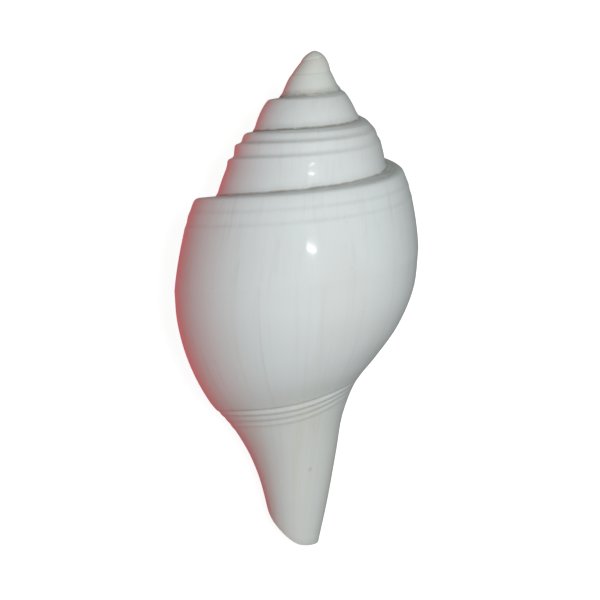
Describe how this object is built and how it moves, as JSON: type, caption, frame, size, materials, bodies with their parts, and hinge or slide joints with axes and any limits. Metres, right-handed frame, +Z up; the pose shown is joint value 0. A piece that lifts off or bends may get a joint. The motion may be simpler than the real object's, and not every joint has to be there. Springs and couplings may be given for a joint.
{
  "type": "conch shell",
  "caption": "Polished white spired sea shell lying on its mouth side, with stepped whorls, cut grooves under the shoulders, a hollow mouth and a long tapering canal.",
  "frame": {"origin": "middle of the footprint box, on the surface that the shell lies on", "axes": "+Z up as the shell lies mouth down, +Y along the shell towards its pointed tip, +X to the right as seen from above with the tip at the top"},
  "size_m": [0.0638, 0.126, 0.0567],
  "materials": {
    "polished_shell": "gloss"
  },
  "bodies": {
    "root": {"conch_shell": "polished_shell"}
  },
  "joints": []
}
